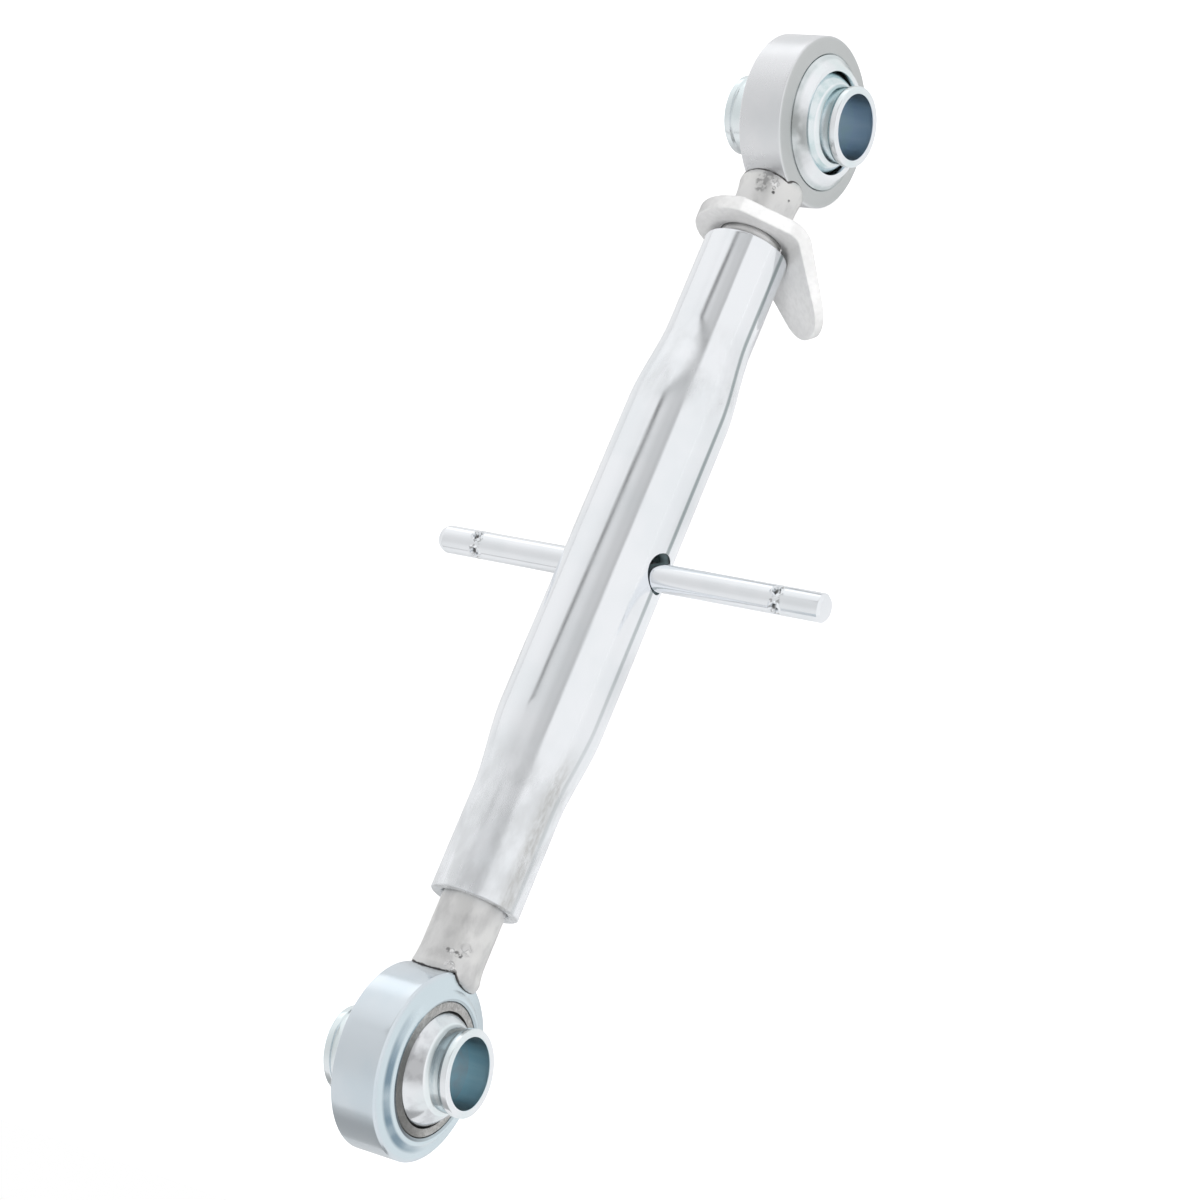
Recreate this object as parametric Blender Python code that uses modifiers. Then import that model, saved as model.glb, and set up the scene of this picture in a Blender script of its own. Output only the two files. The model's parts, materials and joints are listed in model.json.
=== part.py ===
"""Adjustable top link for a three-point tractor linkage.

A swaged steel tube with a right-hand thread in one end and a left-hand thread in the other draws two
screws in, or pushes them out, as its loose cross bar turns it. A lock nut with a lever clamps the
tube. Each screw ends in an eye, which holds a swivel ball between two race rings.

All lengths are in metres, and +Z is up. The link lies on its two eyes along X, with the lower end,
the one with the right-hand thread, towards -X, and with its pin bores along Y. The origin is the
middle of its footprint, on the surface that it lies on.
"""

import math

import bmesh
import bpy
from mathutils import Euler, Matrix, Vector

# Fits and cutters
fit_gap = 0.0003
overrun = 0.004
weld_distance = 0.00001

# Swivel balls, the same at both ends: category 2, for a 25.4 mm pin
ball_radius = 0.0235
ball_width = 0.0516
pin_bore_radius = 0.0128
pin_bore_chamfer = 0.0004
neck_radius = 0.0150
neck_root_radius = 0.0160
neck_root_length = 0.0012
rim_radius = 0.01575
rim_length = 0.0026
rim_edge = 0.0004
lower_ball_lean = -0.035
lower_ball_swing = 0.0768
upper_ball_lean = 0.0
upper_ball_swing = -0.045

# Lower eye, whose coned faces end in a raised lip rolled over the race rings
lower_eye_radius = 0.0340
lower_eye_tread = 0.0175
lower_eye_crown_radius = 0.0285
lower_eye_crown_width = 0.0208
lower_eye_lip_width = 0.0244
lower_race_radius = 0.0244
lower_race_shoulder_width = 0.0234
lower_race_width = 0.0240

# Upper eye, turned a little on its thread, whose race rings stand out as rolled collars. The housing
# stands off its ball's middle towards the front
upper_end_roll = -0.072
upper_eye_offset = 0.0016
upper_eye_radius = 0.03355
upper_eye_tread = 0.0175
upper_eye_crown_radius = 0.0275
upper_eye_crown_width = 0.0206
upper_race_radius = 0.0262
upper_race_shoulder_width = 0.0214
collar_bore_radius = 0.0201
collar_crest_radius = 0.0222
collar_width = 0.0288
collar_crest_round = 0.0009

# Both eyes
eye_edge = 0.0005
crown_edge = 0.0004

# Tube
tube_length = 0.278
tube_radius = 0.0200
tube_wall = 0.0045
tube_end_radius = 0.0169
tube_end_length = 0.039
swage_length = 0.036
tube_edge = 0.0007
lead_in = 0.0010
cross_hole_radius = 0.0078

# Screws, whose threads are left smooth. The shank of each is what shows of it, screwed in
lower_shank_length = 0.0267
upper_shank_length = 0.01675
screw_radius = 0.0122
screw_clear_of_hole = 0.0055
screw_chamfer = 0.0020
lower_flare_radius = 0.0131
lower_flare_length = 0.0075
lower_lobe_reach = 0.0045
upper_flare_radius = 0.0130
upper_flare_length = 0.0075
upper_lobe_reach = 0.0050
lobe_taper = 0.0030

# Cross bar
bar_length = 0.169
bar_radius = 0.0055
bar_end_chamfer = 0.0011
bar_end_round = 0.0030
bar_tilt = -0.042
bar_slide = 0.0060
bar_stop_spacing = 0.132
bar_stop_reach = 0.0084
bar_stop_radius = 0.0022
bar_stop_direction = math.radians(69)
bar_stop_spread = math.radians(34)
punch_radius = 0.0013

# Lock nut and its lever
nut_radius = 0.0230
nut_thickness = 0.0060
nut_edge = 0.0006
nut_tube_gap = 0.0050
nut_flat_direction = math.radians(128)
nut_flat_share = 0.883
lever_direction = math.radians(226)
lever_bend = math.radians(45)
lever_bend_start = 0.0100
lever_bend_radius = 0.0050
lever_length = 0.0470
lever_tip_radius = 0.0130
lever_tip_thickness = 0.0038
lever_tip_arc = math.radians(80)

# Facets
ring_steps = 40
eye_steps = 56
bar_steps = 24
bead_steps = 8
sphere_steps = 12
cup_steps = 4
bend_steps = 5
tip_steps = 6

# Places along the link, from the lower ball's centre
tube_start = lower_eye_radius + lower_shank_length
tube_middle = tube_start + tube_length / 2
nut_start = tube_start + tube_length + nut_tube_gap
link_length = nut_start + nut_thickness + upper_shank_length + upper_eye_radius
thread_bore_radius = screw_radius + fit_gap
race_seat_radius = ball_radius + fit_gap
screw_inset = cross_hole_radius + screw_clear_of_hole
footprint_middle = (link_length + upper_eye_radius - lower_eye_radius) / 2

ALONG_X = Euler((0, math.pi / 2, 0))
AGAINST_X = Euler((0, -math.pi / 2, 0))
ALONG_Y = Euler((-math.pi / 2, 0, 0))
AGAINST_Y = Euler((math.pi / 2, 0, 0))


def clear_scene():
    for obj in list(bpy.data.objects):
        bpy.data.objects.remove(obj, do_unlink=True)


def new_collection(name):
    collection = bpy.data.collections.new(name)
    bpy.context.scene.collection.children.link(collection)
    return collection


def steel(name, colour, roughness):
    """A plain metal of this colour."""
    material = bpy.data.materials.new(name)
    material.use_nodes = True
    shader = material.node_tree.nodes["Principled BSDF"]
    shader.inputs["Base Color"].default_value = (*colour, 1.0)
    shader.inputs["Roughness"].default_value = roughness
    shader.inputs["Metallic"].default_value = 1.0
    return material


def empty(name, location, parent=None):
    holder = bpy.data.objects.new(name, None)
    holder.location = location
    holder.parent = parent
    PARTS.objects.link(holder)
    return holder


def placed(obj, parent, location=(0, 0, 0), rotation=(0, 0, 0)):
    obj.location = location
    obj.rotation_euler = rotation
    obj.parent = parent
    return obj


def turned(name, profile, steps, collection, closed=False):
    """A profile of (along, radius) turned about local Z: down its outer side, then up its inner one."""
    mesh = bpy.data.meshes.new(name)
    points = [(radius, 0.0, along) for along, radius in profile]
    edges = [(i, i + 1) for i in range(len(points) - 1)]
    if closed:
        edges.append((len(points) - 1, 0))
    mesh.from_pydata(points, edges, [])
    obj = bpy.data.objects.new(name, mesh)
    collection.objects.link(obj)
    screw = obj.modifiers.new("Turn", "SCREW")
    screw.axis = "Z"
    screw.angle = 2 * math.pi
    screw.steps = steps
    screw.render_steps = steps
    screw.use_merge_vertices = True
    screw.merge_threshold = weld_distance
    return obj


def as_cutter(obj):
    obj.hide_render = True
    obj.display_type = "WIRE"
    return obj


def boolean(obj, tool, operation):
    modifier = obj.modifiers.new(tool.name, "BOOLEAN")
    modifier.operation = operation
    modifier.solver = "EXACT"
    modifier.object = tool


def finished(obj, material):
    """Applies the modifiers, shades the round faces smooth and gives the piece its material."""
    bpy.context.view_layer.update()
    graph = bpy.context.evaluated_depsgraph_get()
    mesh = bpy.data.meshes.new_from_object(obj.evaluated_get(graph))
    obj.modifiers.clear()
    obj.data = mesh
    mesh.shade_smooth()
    mesh.set_sharp_from_angle(angle=math.radians(28))
    mesh.materials.clear()
    mesh.materials.append(material)
    return obj


def sphere_section(radius, along):
    """The radius of the circle in which a plane at this place along the axis cuts a sphere."""
    return math.sqrt(radius**2 - along**2)


def arc_of_sphere(radius, start, end, steps):
    """Profile points on a sphere between two places along its axis, at even angles."""
    first, last = math.asin(start / radius), math.asin(end / radius)
    angles = [first + (last - first) * i / steps for i in range(steps + 1)]
    return [(radius * math.sin(a), radius * math.cos(a)) for a in angles]


def mirrored(half):
    """The upper half of a profile, then its mirror image."""
    return half + [(-along, radius) for along, radius in reversed(half)]


def ring(outer_half, inner_half):
    """The closed profile of a ring that is the same above and below its middle."""
    return mirrored(outer_half) + list(reversed(mirrored(inner_half)))


def ball(name, material, parent, lean, swing):
    """A swivel ball with a flared neck on each side, and the pin bore through it."""
    half = ball_width / 2
    root = sphere_section(ball_radius, neck_root_radius)
    outer = [
        (half, rim_radius - rim_edge),
        (half - rim_edge, rim_radius),
        (half - rim_length, rim_radius),
        (half - rim_length - (rim_radius - neck_radius), neck_radius),
        (root + neck_root_length, neck_radius),
        (root + neck_root_length / 4, (neck_root_radius + 2 * neck_radius) / 3),
    ]
    sphere = arc_of_sphere(ball_radius, root, 0.0, sphere_steps // 2)[:-1]
    inner = [(half, pin_bore_radius + pin_bore_chamfer), (half - pin_bore_chamfer, pin_bore_radius)]
    middle = [(0.0, ball_radius)]
    upper = outer + sphere
    profile = upper + middle + [(-along, radius) for along, radius in reversed(upper)]
    profile += list(reversed(mirrored(inner)))
    obj = turned(name, profile, ring_steps, PARTS, closed=True)
    return finished(placed(obj, parent, rotation=(lean - math.pi / 2, 0, swing)), material)


def race_pair(end, outer, seat_end, offset, material, parent):
    """An eye's two race rings, pressed in from the back and from the front, which both seat the ball."""
    seat = arc_of_sphere(race_seat_radius, fit_gap / 2, seat_end, cup_steps)
    for side, turn, shift in (("back", ALONG_Y, -offset), ("front", AGAINST_Y, offset)):
        profile = [(along + shift, radius) for along, radius in outer]
        profile.append((fit_gap / 2, profile[-1][1]))
        obj = turned(f"{end}_race_{side}", profile + seat, ring_steps, PARTS, closed=True)
        finished(placed(obj, parent, rotation=turn), material)


def lower_races(material, parent):
    """Plain rings, whose nearly flat ends rise a little to the ball."""
    shoulder, lip = lower_race_shoulder_width / 2, lower_race_width / 2
    outer = [
        (shoulder, lower_race_radius - crown_edge),
        (shoulder - crown_edge, lower_race_radius),
    ]
    race_pair("lower", outer, lip, 0.0, material, parent)


def upper_races(material, parent):
    """Rings whose ends are rolled in over the ball as a tall collar."""
    shoulder, lip = upper_race_shoulder_width / 2, collar_width / 2
    outer = [
        (lip, collar_bore_radius),
        (lip, collar_crest_radius - collar_crest_round),
        (lip - collar_crest_round / 3, collar_crest_radius - collar_crest_round / 3),
        (lip - collar_crest_round, collar_crest_radius),
        (shoulder, upper_race_radius - crown_edge),
        (shoulder - crown_edge, upper_race_radius),
    ]
    seat_end = sphere_section(race_seat_radius, collar_bore_radius)
    race_pair("upper", outer, seat_end, upper_eye_offset, material, parent)


def eye(name, sizes, lip_width, race_radius, offset, material, parent):
    """A housing ring: a barrel whose coned faces rise to a crown, and then to a lip round the race."""
    radius, tread, crown_radius, crown_width = sizes
    bore = race_radius + fit_gap
    step = crown_radius - bore
    outer = [
        (lip_width / 2 - crown_edge, bore),
        (lip_width / 2, bore + step / 4),
        (lip_width / 2, bore + step / 2),
        ((crown_width + 2 * lip_width) / 6, crown_radius - step / 6),
        (crown_width / 2, crown_radius),
        (tread / 2 + eye_edge / 2, radius - eye_edge),
        (tread / 2, radius),
    ]
    obj = turned(name, mirrored(outer), eye_steps, PARTS, closed=True)
    return finished(placed(obj, parent, (0, -offset, 0), ALONG_Y), material)


def saddled_screw(name, spans, flare, eye_shape, offset, turn, material, parent):
    """A screw, whose flared outer end is hollowed to sit over its eye with a lobe on each face.

    It is measured from the ball's centre.
    """
    inner_end, eye_radius = spans
    flare_radius, flare_length, lobe_reach = flare
    lobe_end = eye_radius - lobe_reach
    profile = [
        (inner_end, 0.0),
        (inner_end, screw_radius - screw_chamfer),
        (inner_end - screw_chamfer, screw_radius),
        (eye_radius + flare_length, screw_radius),
        (eye_radius + flare_length / 2, (2 * screw_radius + flare_radius) / 3),
        (eye_radius, flare_radius),
        (eye_radius - lobe_reach / 3, flare_radius - lobe_taper / 6),
        (lobe_end + lobe_reach / 4, flare_radius - lobe_taper / 2),
        (lobe_end, flare_radius - lobe_taper),
        (lobe_end, 0.0),
    ]
    obj = placed(turned(name, profile, ring_steps, PARTS), parent, rotation=turn)
    tool = as_cutter(turned(f"{name}_saddle", eye_shape, eye_steps, CUTTERS))
    placed(tool, parent, (0, -offset, 0), ALONG_Y)
    boolean(obj, tool, "DIFFERENCE")
    return finished(obj, material)


def eye_space(radius, tread, crown_radius, crown_width):
    """The space that an eye takes up with the gap round it, as a solid profile."""
    return mirrored([
        (crown_width / 2 + fit_gap, 0.0),
        (crown_width / 2 + fit_gap, crown_radius),
        (tread / 2 + fit_gap, radius + fit_gap),
    ])


def tube(material, parent):
    """The swaged tube, with plain bores where its threads are, and a cross hole for the bar."""
    half = tube_length / 2
    end_foot = half - tube_end_length
    swage_foot = end_foot - swage_length
    step = tube_radius - tube_end_radius
    outer = [
        (half, tube_end_radius - tube_edge),
        (half - tube_edge, tube_end_radius),
        (end_foot, tube_end_radius),
        (end_foot - swage_length / 6, tube_end_radius + step / 14),
        (end_foot - swage_length / 3, tube_end_radius + step / 4),
        (swage_foot + swage_length / 3, tube_radius - step / 4),
        (swage_foot + swage_length / 6, tube_radius - step / 14),
        (swage_foot, tube_radius),
    ]
    inner = [
        (half, thread_bore_radius + lead_in),
        (half - lead_in, thread_bore_radius),
        (end_foot, thread_bore_radius),
        (swage_foot, tube_radius - tube_wall),
    ]
    obj = turned("centre_tube", ring(outer, inner), ring_steps, PARTS, closed=True)
    placed(obj, parent, (tube_middle, 0, 0), ALONG_X)
    hole = mirrored([(tube_radius + overrun, 0.0), (tube_radius + overrun, cross_hole_radius)])
    tool = as_cutter(turned("cross_hole", hole, ring_steps, CUTTERS))
    boolean(obj, placed(tool, parent, (tube_middle, 0, 0), ALONG_Y), "DIFFERENCE")
    return finished(obj, material)


def beads(name, radius, places, parent):
    """Small spheres in one cutter."""
    shape = bmesh.new()
    for place in places:
        bmesh.ops.create_uvsphere(
            shape,
            u_segments=bead_steps,
            v_segments=bead_steps // 2 + 1,
            radius=radius,
            matrix=Matrix.Translation(place),
        )
    mesh = bpy.data.meshes.new(name)
    shape.to_mesh(mesh)
    shape.free()
    obj = bpy.data.objects.new(name, mesh)
    CUTTERS.objects.link(obj)
    return placed(as_cutter(obj), parent)


def cross_bar(material, parent):
    """The loose bar. Burrs punched up on both sides near each end make it wider than the tube's hole."""
    half = bar_length / 2
    profile = [
        (half, 0.0),
        (half, bar_radius - bar_end_round),
        (half - bar_end_round / 5, bar_radius - bar_end_round / 2.2),
        (half - bar_end_round / 2.2, bar_radius - bar_end_round / 5),
        (half - bar_end_round, bar_radius),
        (bar_end_chamfer - half, bar_radius),
        (-half, bar_radius - bar_end_chamfer),
        (-half, 0.0),
    ]
    obj = turned("tommy_bar", profile, bar_steps, PARTS)
    play = cross_hole_radius - bar_radius - fit_gap
    side_play = math.sqrt(play**2 - (tube_radius * math.tan(bar_tilt)) ** 2)
    place = (tube_middle - side_play, -bar_slide * math.cos(bar_tilt), -bar_slide * math.sin(bar_tilt))
    placed(obj, parent, place, (bar_tilt - math.pi / 2, 0, 0))
    stops, punches = [], []
    for end in (-1, 1):
        for facing in (0, math.pi):
            for hand in (-1, 1):
                # Local Z runs along the bar, X along the link and -Y upwards.
                angle = bar_stop_direction + facing + hand * bar_stop_spread
                out = Vector((-math.cos(angle), -math.sin(angle), 0))
                along = Vector((0, 0, end * bar_stop_spacing / 2))
                stops.append(out * (bar_stop_reach - bar_stop_radius) + along)
                punches.append(out * (bar_stop_reach + punch_radius / 6) + along)
    boolean(obj, beads("bar_stops", bar_stop_radius, stops, obj), "UNION")
    boolean(obj, beads("bar_punches", punch_radius, punches, obj), "DIFFERENCE")
    return finished(obj, material)


def lever_point(along, across, up):
    """A point of the lever: a flat tongue, bent down past the start of its bend.

    Local X runs out along the lever, Y across it and Z up from the nut's lower face.
    """
    bent = max(0.0, along - lever_bend_start)
    angle = min(bent / lever_bend_radius, lever_bend)
    straight = max(0.0, bent - lever_bend_radius * lever_bend)
    radius = lever_bend_radius + up
    out = min(along, lever_bend_start) + radius * math.sin(angle) + straight * math.cos(lever_bend)
    height = radius * math.cos(angle) - lever_bend_radius - straight * math.sin(lever_bend)
    return Vector((out, across, height))


def lever_half_width(along):
    """Half of the tongue's width: tangent to the nut's rim and to the rounded tip."""
    tip_centre = lever_length - lever_tip_radius
    taper_share = (nut_radius - lever_tip_radius) / tip_centre
    if along > tip_centre + lever_tip_radius * taper_share:
        return math.sqrt(lever_tip_radius**2 - (along - tip_centre) ** 2)
    return (nut_radius - along * taper_share) / math.sqrt(1 - taper_share**2)


def lever_stations():
    """Places along the tongue: even steps through its bend, and then round its tip."""
    tip_centre = lever_length - lever_tip_radius
    taper_share = (nut_radius - lever_tip_radius) / tip_centre
    bent = lever_bend_radius * lever_bend
    first = math.asin(taper_share)
    bend = [lever_bend_start + bent * i / bend_steps for i in range(bend_steps + 1)]
    turns = [first + (lever_tip_arc - first) * i / tip_steps for i in range(tip_steps + 1)]
    tip = [tip_centre + lever_tip_radius * math.sin(turn) for turn in turns]
    return [nut_radius * taper_share, *bend, *tip]


def lever_tongue(parent):
    """The tongue as a loft of cross sections, thinner towards its tip."""
    shape = bmesh.new()
    sections = []
    for along in lever_stations():
        share = max(0.0, along - lever_bend_start) / (lever_length - lever_bend_start)
        thickness = nut_thickness + (lever_tip_thickness - nut_thickness) * share
        half = lever_half_width(along)
        corners = [(-half, 0.0), (half, 0.0), (half, thickness), (-half, thickness)]
        sections.append([shape.verts.new(lever_point(along, across, up)) for across, up in corners])
    for first, second in zip(sections, sections[1:]):
        for i in range(4):
            j = (i + 1) % 4
            shape.faces.new((first[i], first[j], second[j], second[i]))
    shape.faces.new(sections[0])
    shape.faces.new(sections[-1])
    bmesh.ops.recalc_face_normals(shape, faces=shape.faces)
    mesh = bpy.data.meshes.new("lever_tongue")
    shape.to_mesh(mesh)
    shape.free()
    obj = bpy.data.objects.new("lever_tongue", mesh)
    CUTTERS.objects.link(obj)
    return placed(as_cutter(obj), parent)


def flat_cut(parent):
    """A block that takes a flat off the nut's rim."""
    near = nut_radius * nut_flat_share
    mesh = bpy.data.meshes.new("nut_flat")
    shape = bmesh.new()
    turn = nut_flat_direction - lever_direction
    size = (2 * overrun, 2 * nut_radius, nut_thickness + 2 * overrun)
    middle = Vector((near + overrun, 0, nut_thickness / 2))
    place = Matrix.Rotation(turn, 4, "Z") @ Matrix.Translation(middle) @ Matrix.Diagonal((*size, 1))
    bmesh.ops.create_cube(shape, size=1.0, matrix=place)
    shape.to_mesh(mesh)
    shape.free()
    obj = bpy.data.objects.new("nut_flat", mesh)
    CUTTERS.objects.link(obj)
    return placed(as_cutter(obj), parent)


def lock_nut(material, parent):
    """The lock nut: a round tapped plate, whose rim runs out into a bent lever."""
    plate = [
        (nut_thickness, 0.0),
        (nut_thickness, nut_radius - nut_edge),
        (nut_thickness - nut_edge, nut_radius),
        (nut_edge, nut_radius),
        (0.0, nut_radius - nut_edge),
        (0.0, 0.0),
    ]
    obj = turned("lock_nut", plate, eye_steps, PARTS)
    out = Vector((0, math.cos(lever_direction), math.sin(lever_direction)))
    up = Vector((1, 0, 0))
    frame = Matrix((out, up.cross(out), up)).transposed()
    placed(obj, parent, (nut_start, 0, 0), frame.to_euler())
    boolean(obj, flat_cut(obj), "DIFFERENCE")
    boolean(obj, lever_tongue(obj), "UNION")
    bore = [(nut_thickness + overrun, 0.0), (nut_thickness + overrun, thread_bore_radius)]
    bore += [(-overrun, thread_bore_radius), (-overrun, 0.0)]
    boolean(obj, placed(as_cutter(turned("nut_bore", bore, ring_steps, CUTTERS)), obj), "DIFFERENCE")
    return finished(obj, material)


clear_scene()
PARTS = new_collection("tractor_top_link")
CUTTERS = new_collection("cutters")

zinc = (0.80, 0.82, 0.84)
blue_zinc = (0.66, 0.72, 0.76)
dull_zinc = (0.66, 0.66, 0.65)
race_steel = (0.30, 0.29, 0.28)

link_axis = empty("link_axis", (-footprint_middle, bar_slide * math.cos(bar_tilt), lower_eye_radius))
lower_end = empty("lower_end", (0, 0, 0), link_axis)
upper_end = empty("upper_end", (link_length, 0, 0), link_axis)
upper_end.rotation_euler = (upper_end_roll, 0, 0)

lower_sizes = (lower_eye_radius, lower_eye_tread, lower_eye_crown_radius, lower_eye_crown_width)
upper_sizes = (upper_eye_radius, upper_eye_tread, upper_eye_crown_radius, upper_eye_crown_width)

blued = steel("lower_eye_zinc", blue_zinc, 0.22)
eye("lower_eye", lower_sizes, lower_eye_lip_width, lower_race_radius, 0.0, blued, lower_end)
lower_races(steel("lower_race_steel", race_steel, 0.6), lower_end)
ball("lower_ball", steel("lower_ball_zinc", zinc, 0.18), lower_end, lower_ball_lean, lower_ball_swing)
saddled_screw(
    "lower_screw",
    (tube_middle - screw_inset, lower_eye_radius),
    (lower_flare_radius, lower_flare_length, lower_lobe_reach),
    eye_space(*lower_sizes),
    0.0,
    ALONG_X,
    steel("lower_screw_zinc", dull_zinc, 0.42),
    lower_end,
)

brushed = steel("upper_eye_zinc", zinc, 0.3)
eye("upper_eye", upper_sizes, upper_eye_crown_width, upper_race_radius, upper_eye_offset, brushed, upper_end)
upper_races(steel("upper_race_zinc", zinc, 0.24), upper_end)
ball("upper_ball", steel("upper_ball_zinc", zinc, 0.18), upper_end, upper_ball_lean, upper_ball_swing)
saddled_screw(
    "upper_screw",
    (link_length - tube_middle - screw_inset, upper_eye_radius),
    (upper_flare_radius, upper_flare_length, upper_lobe_reach),
    eye_space(*upper_sizes),
    upper_eye_offset,
    AGAINST_X,
    steel("upper_screw_zinc", dull_zinc, 0.42),
    upper_end,
)

tube(steel("tube_zinc", zinc, 0.2), link_axis)
cross_bar(steel("bar_zinc", zinc, 0.2), link_axis)
lock_nut(steel("nut_zinc", zinc, 0.3), link_axis)
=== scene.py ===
# %% [markdown]
# # A tractor top link, dressed
#
# A top link is the adjustable third arm of a tractor's three-point linkage. Its solids are already
# made at their real size. This script loads them as a fixed frame and gives each of them the fine
# surface that the real one has: swaged and turned steel, cut threads, punched dents, and zinc plating.

# %% Load the frame
import json
import math

import bmesh
import bpy
import numpy as np
from mathutils import Matrix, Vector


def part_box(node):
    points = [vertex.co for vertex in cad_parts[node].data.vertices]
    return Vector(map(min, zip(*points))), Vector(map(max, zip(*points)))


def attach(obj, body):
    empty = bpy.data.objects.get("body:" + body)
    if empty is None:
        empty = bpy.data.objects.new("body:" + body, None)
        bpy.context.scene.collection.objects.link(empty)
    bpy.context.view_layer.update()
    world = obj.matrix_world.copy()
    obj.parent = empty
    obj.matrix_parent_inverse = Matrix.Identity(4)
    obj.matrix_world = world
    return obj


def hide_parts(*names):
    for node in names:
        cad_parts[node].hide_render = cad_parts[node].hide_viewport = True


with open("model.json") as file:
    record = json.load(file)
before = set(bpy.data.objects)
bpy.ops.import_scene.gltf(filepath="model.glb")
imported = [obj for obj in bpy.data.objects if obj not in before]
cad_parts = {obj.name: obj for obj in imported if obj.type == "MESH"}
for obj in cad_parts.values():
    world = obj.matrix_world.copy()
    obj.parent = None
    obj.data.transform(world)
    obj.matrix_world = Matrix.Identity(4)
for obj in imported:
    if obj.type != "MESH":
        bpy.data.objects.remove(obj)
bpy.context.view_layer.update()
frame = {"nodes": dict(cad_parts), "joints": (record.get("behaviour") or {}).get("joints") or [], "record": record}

print("nodes:", ", ".join(sorted(frame["nodes"])))

# %% [markdown]
# ## Where things are
#
# Every place below comes from the frame: the joints say where the balls' centres are and which way the
# bar slides, and the mounts say which way each ball's bore points. Lengths are in metres, so a
# millimetre gets a name. So does the small gap that the solids keep wherever one piece fits in another.

# %% Places and directions
mm = 0.001
fit_gap = 0.3 * mm
tolerance = 0.001 * mm
joints = {joint["name"]: joint for joint in frame["joints"]}
mounts = {mount["name"]: mount for mount in frame["record"]["mounts"]}
lower_centre = np.array(joints["lower_ball_swing"]["pos_m"])
upper_centre = np.array(joints["upper_ball_swing"]["pos_m"])
along_link = np.array((1.0, 0.0, 0.0))
along_bar = np.array(joints["bar_slide"]["axis"])
centre_of = {"lower": lower_centre, "upper": upper_centre}
# Each eye's own axis is square to the link and to the axis that its ball swings about.
eye_axis = {end: np.cross(joints[f"{end}_ball_swing"]["axis"], along_link) for end in centre_of}


def middle(node):
    low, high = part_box(node)
    return (np.array(low) + np.array(high)) / 2


def width(node, axis):
    low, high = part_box(node)
    return high[axis] - low[axis]


print(f"ball centres {np.linalg.norm(upper_centre - lower_centre) / mm:.1f} mm apart")

# %% [markdown]
# ## Surfaces from profiles
#
# Nearly everything here is turned steel, so one function does most of the work: it carries a profile
# round an axis. A real turned part has no perfectly sharp corner, and a corner that is rounded by even
# a few tenths of a millimetre catches a line of light. So profiles are given as corners, each with its
# own rounding, and the arcs are worked out.

# %% Profiles and turned surfaces
side_share = 0.49
smallest_rounding = 1e-7
nearly_straight = 1.55


def rounded(corners, steps=6):
    """A polyline whose corners (along, radius, rounding) are replaced by arcs tangent to both sides.

    The arc's middle lies on the bisector, at rounding / sin(half the corner's angle) from the corner.
    An arc takes up less than half of each side, and a corner that is nearly straight keeps its point.
    """
    corners = np.array([(*corner, 0.0)[:3] for corner in corners])
    out = [corners[:1, :2]]
    for before, here, after in zip(corners, corners[1:], corners[2:]):
        inward, outward = before[:2] - here[:2], after[:2] - here[:2]
        reach = min(np.linalg.norm(inward), np.linalg.norm(outward)) * side_share
        inward, outward = inward / np.linalg.norm(inward), outward / np.linalg.norm(outward)
        half = math.acos(np.clip(inward @ outward, -1, 1)) / 2
        size = min(here[2], reach * math.tan(half))
        if size < smallest_rounding or half > nearly_straight:
            out.append(here[None, :2])
            continue
        centre = here[:2] + (inward + outward) / np.linalg.norm(inward + outward) * size / math.sin(half)
        first = here[:2] + inward * size / math.tan(half) - centre
        last = here[:2] + outward * size / math.tan(half) - centre
        share = np.linspace(0, 1, steps + 1)[:, None]
        spread = math.pi - 2 * half
        arc = (np.sin((1 - share) * spread) * first + np.sin(share * spread) * last) / math.sin(spread)
        out.append(centre + arc)
    out.append(corners[-1:, :2])
    return np.concatenate(out)


def finer(profile, spacing):
    """The same polyline with its long sides cut into pieces no longer than the spacing."""
    length = np.linalg.norm(np.diff(profile, axis=0), axis=1)
    count = np.maximum(1, np.ceil(length / spacing)).astype(int)
    start = np.repeat(np.arange(len(count)), count)
    share = np.concatenate([np.arange(n) / n for n in count])[:, None]
    cut = profile[start] * (1 - share) + profile[start + 1] * share
    return np.vstack([cut, profile[-1:]])


def both_sides(half):
    """A closed profile: the half from its middle out, then its mirror image in the plane along = 0."""
    return np.vstack([half, half[::-1][1:-1] * (-1, 1)])


def perpendiculars(axis):
    """Two unit vectors square to the axis and to each other, the first as level as can be."""
    side = np.cross((0.0, 0.0, 1.0), axis)
    side = side / np.linalg.norm(side)
    return side, np.cross(axis, side)


def turned(profile, centre, axis, around=224):
    """Surface of revolution: centre + along * axis + radius * (cos(turn) * side + sin(turn) * up)."""
    along, radius = np.asarray(profile).T
    side, up = perpendiculars(axis)
    turn = np.arange(around) * 2 * np.pi / around
    ring = np.cos(turn)[:, None] * side + np.sin(turn)[:, None] * up
    return centre + along[:, None, None] * axis + radius[:, None, None] * ring


def quads_of(grid, loop):
    """Corner numbers of the faces between neighbouring rows, each row being a closed ring."""
    index = np.arange(grid.shape[0] * grid.shape[1]).reshape(grid.shape[:2])
    here, there = (index, np.roll(index, -1, axis=0)) if loop else (index[:-1], index[1:])
    quads = [here, there, np.roll(there, -1, axis=1), np.roll(here, -1, axis=1)]
    return np.stack(quads, axis=-1)


print("points of one rounded corner:", len(rounded([(0, 0), (1, 0, 0.2), (1, 1)])) - 2)

# %% [markdown]
# ## From points to pieces
#
# A grid of points becomes a mesh whose faces join neighbouring rows. Where a surface closes on itself or
# runs to a point on its axis, several points lie in one place, and they are joined. Each piece then rides a
# body of the frame and stands for a node of the solids.

# %% Pieces
seam_gap = 2 * tolerance


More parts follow.
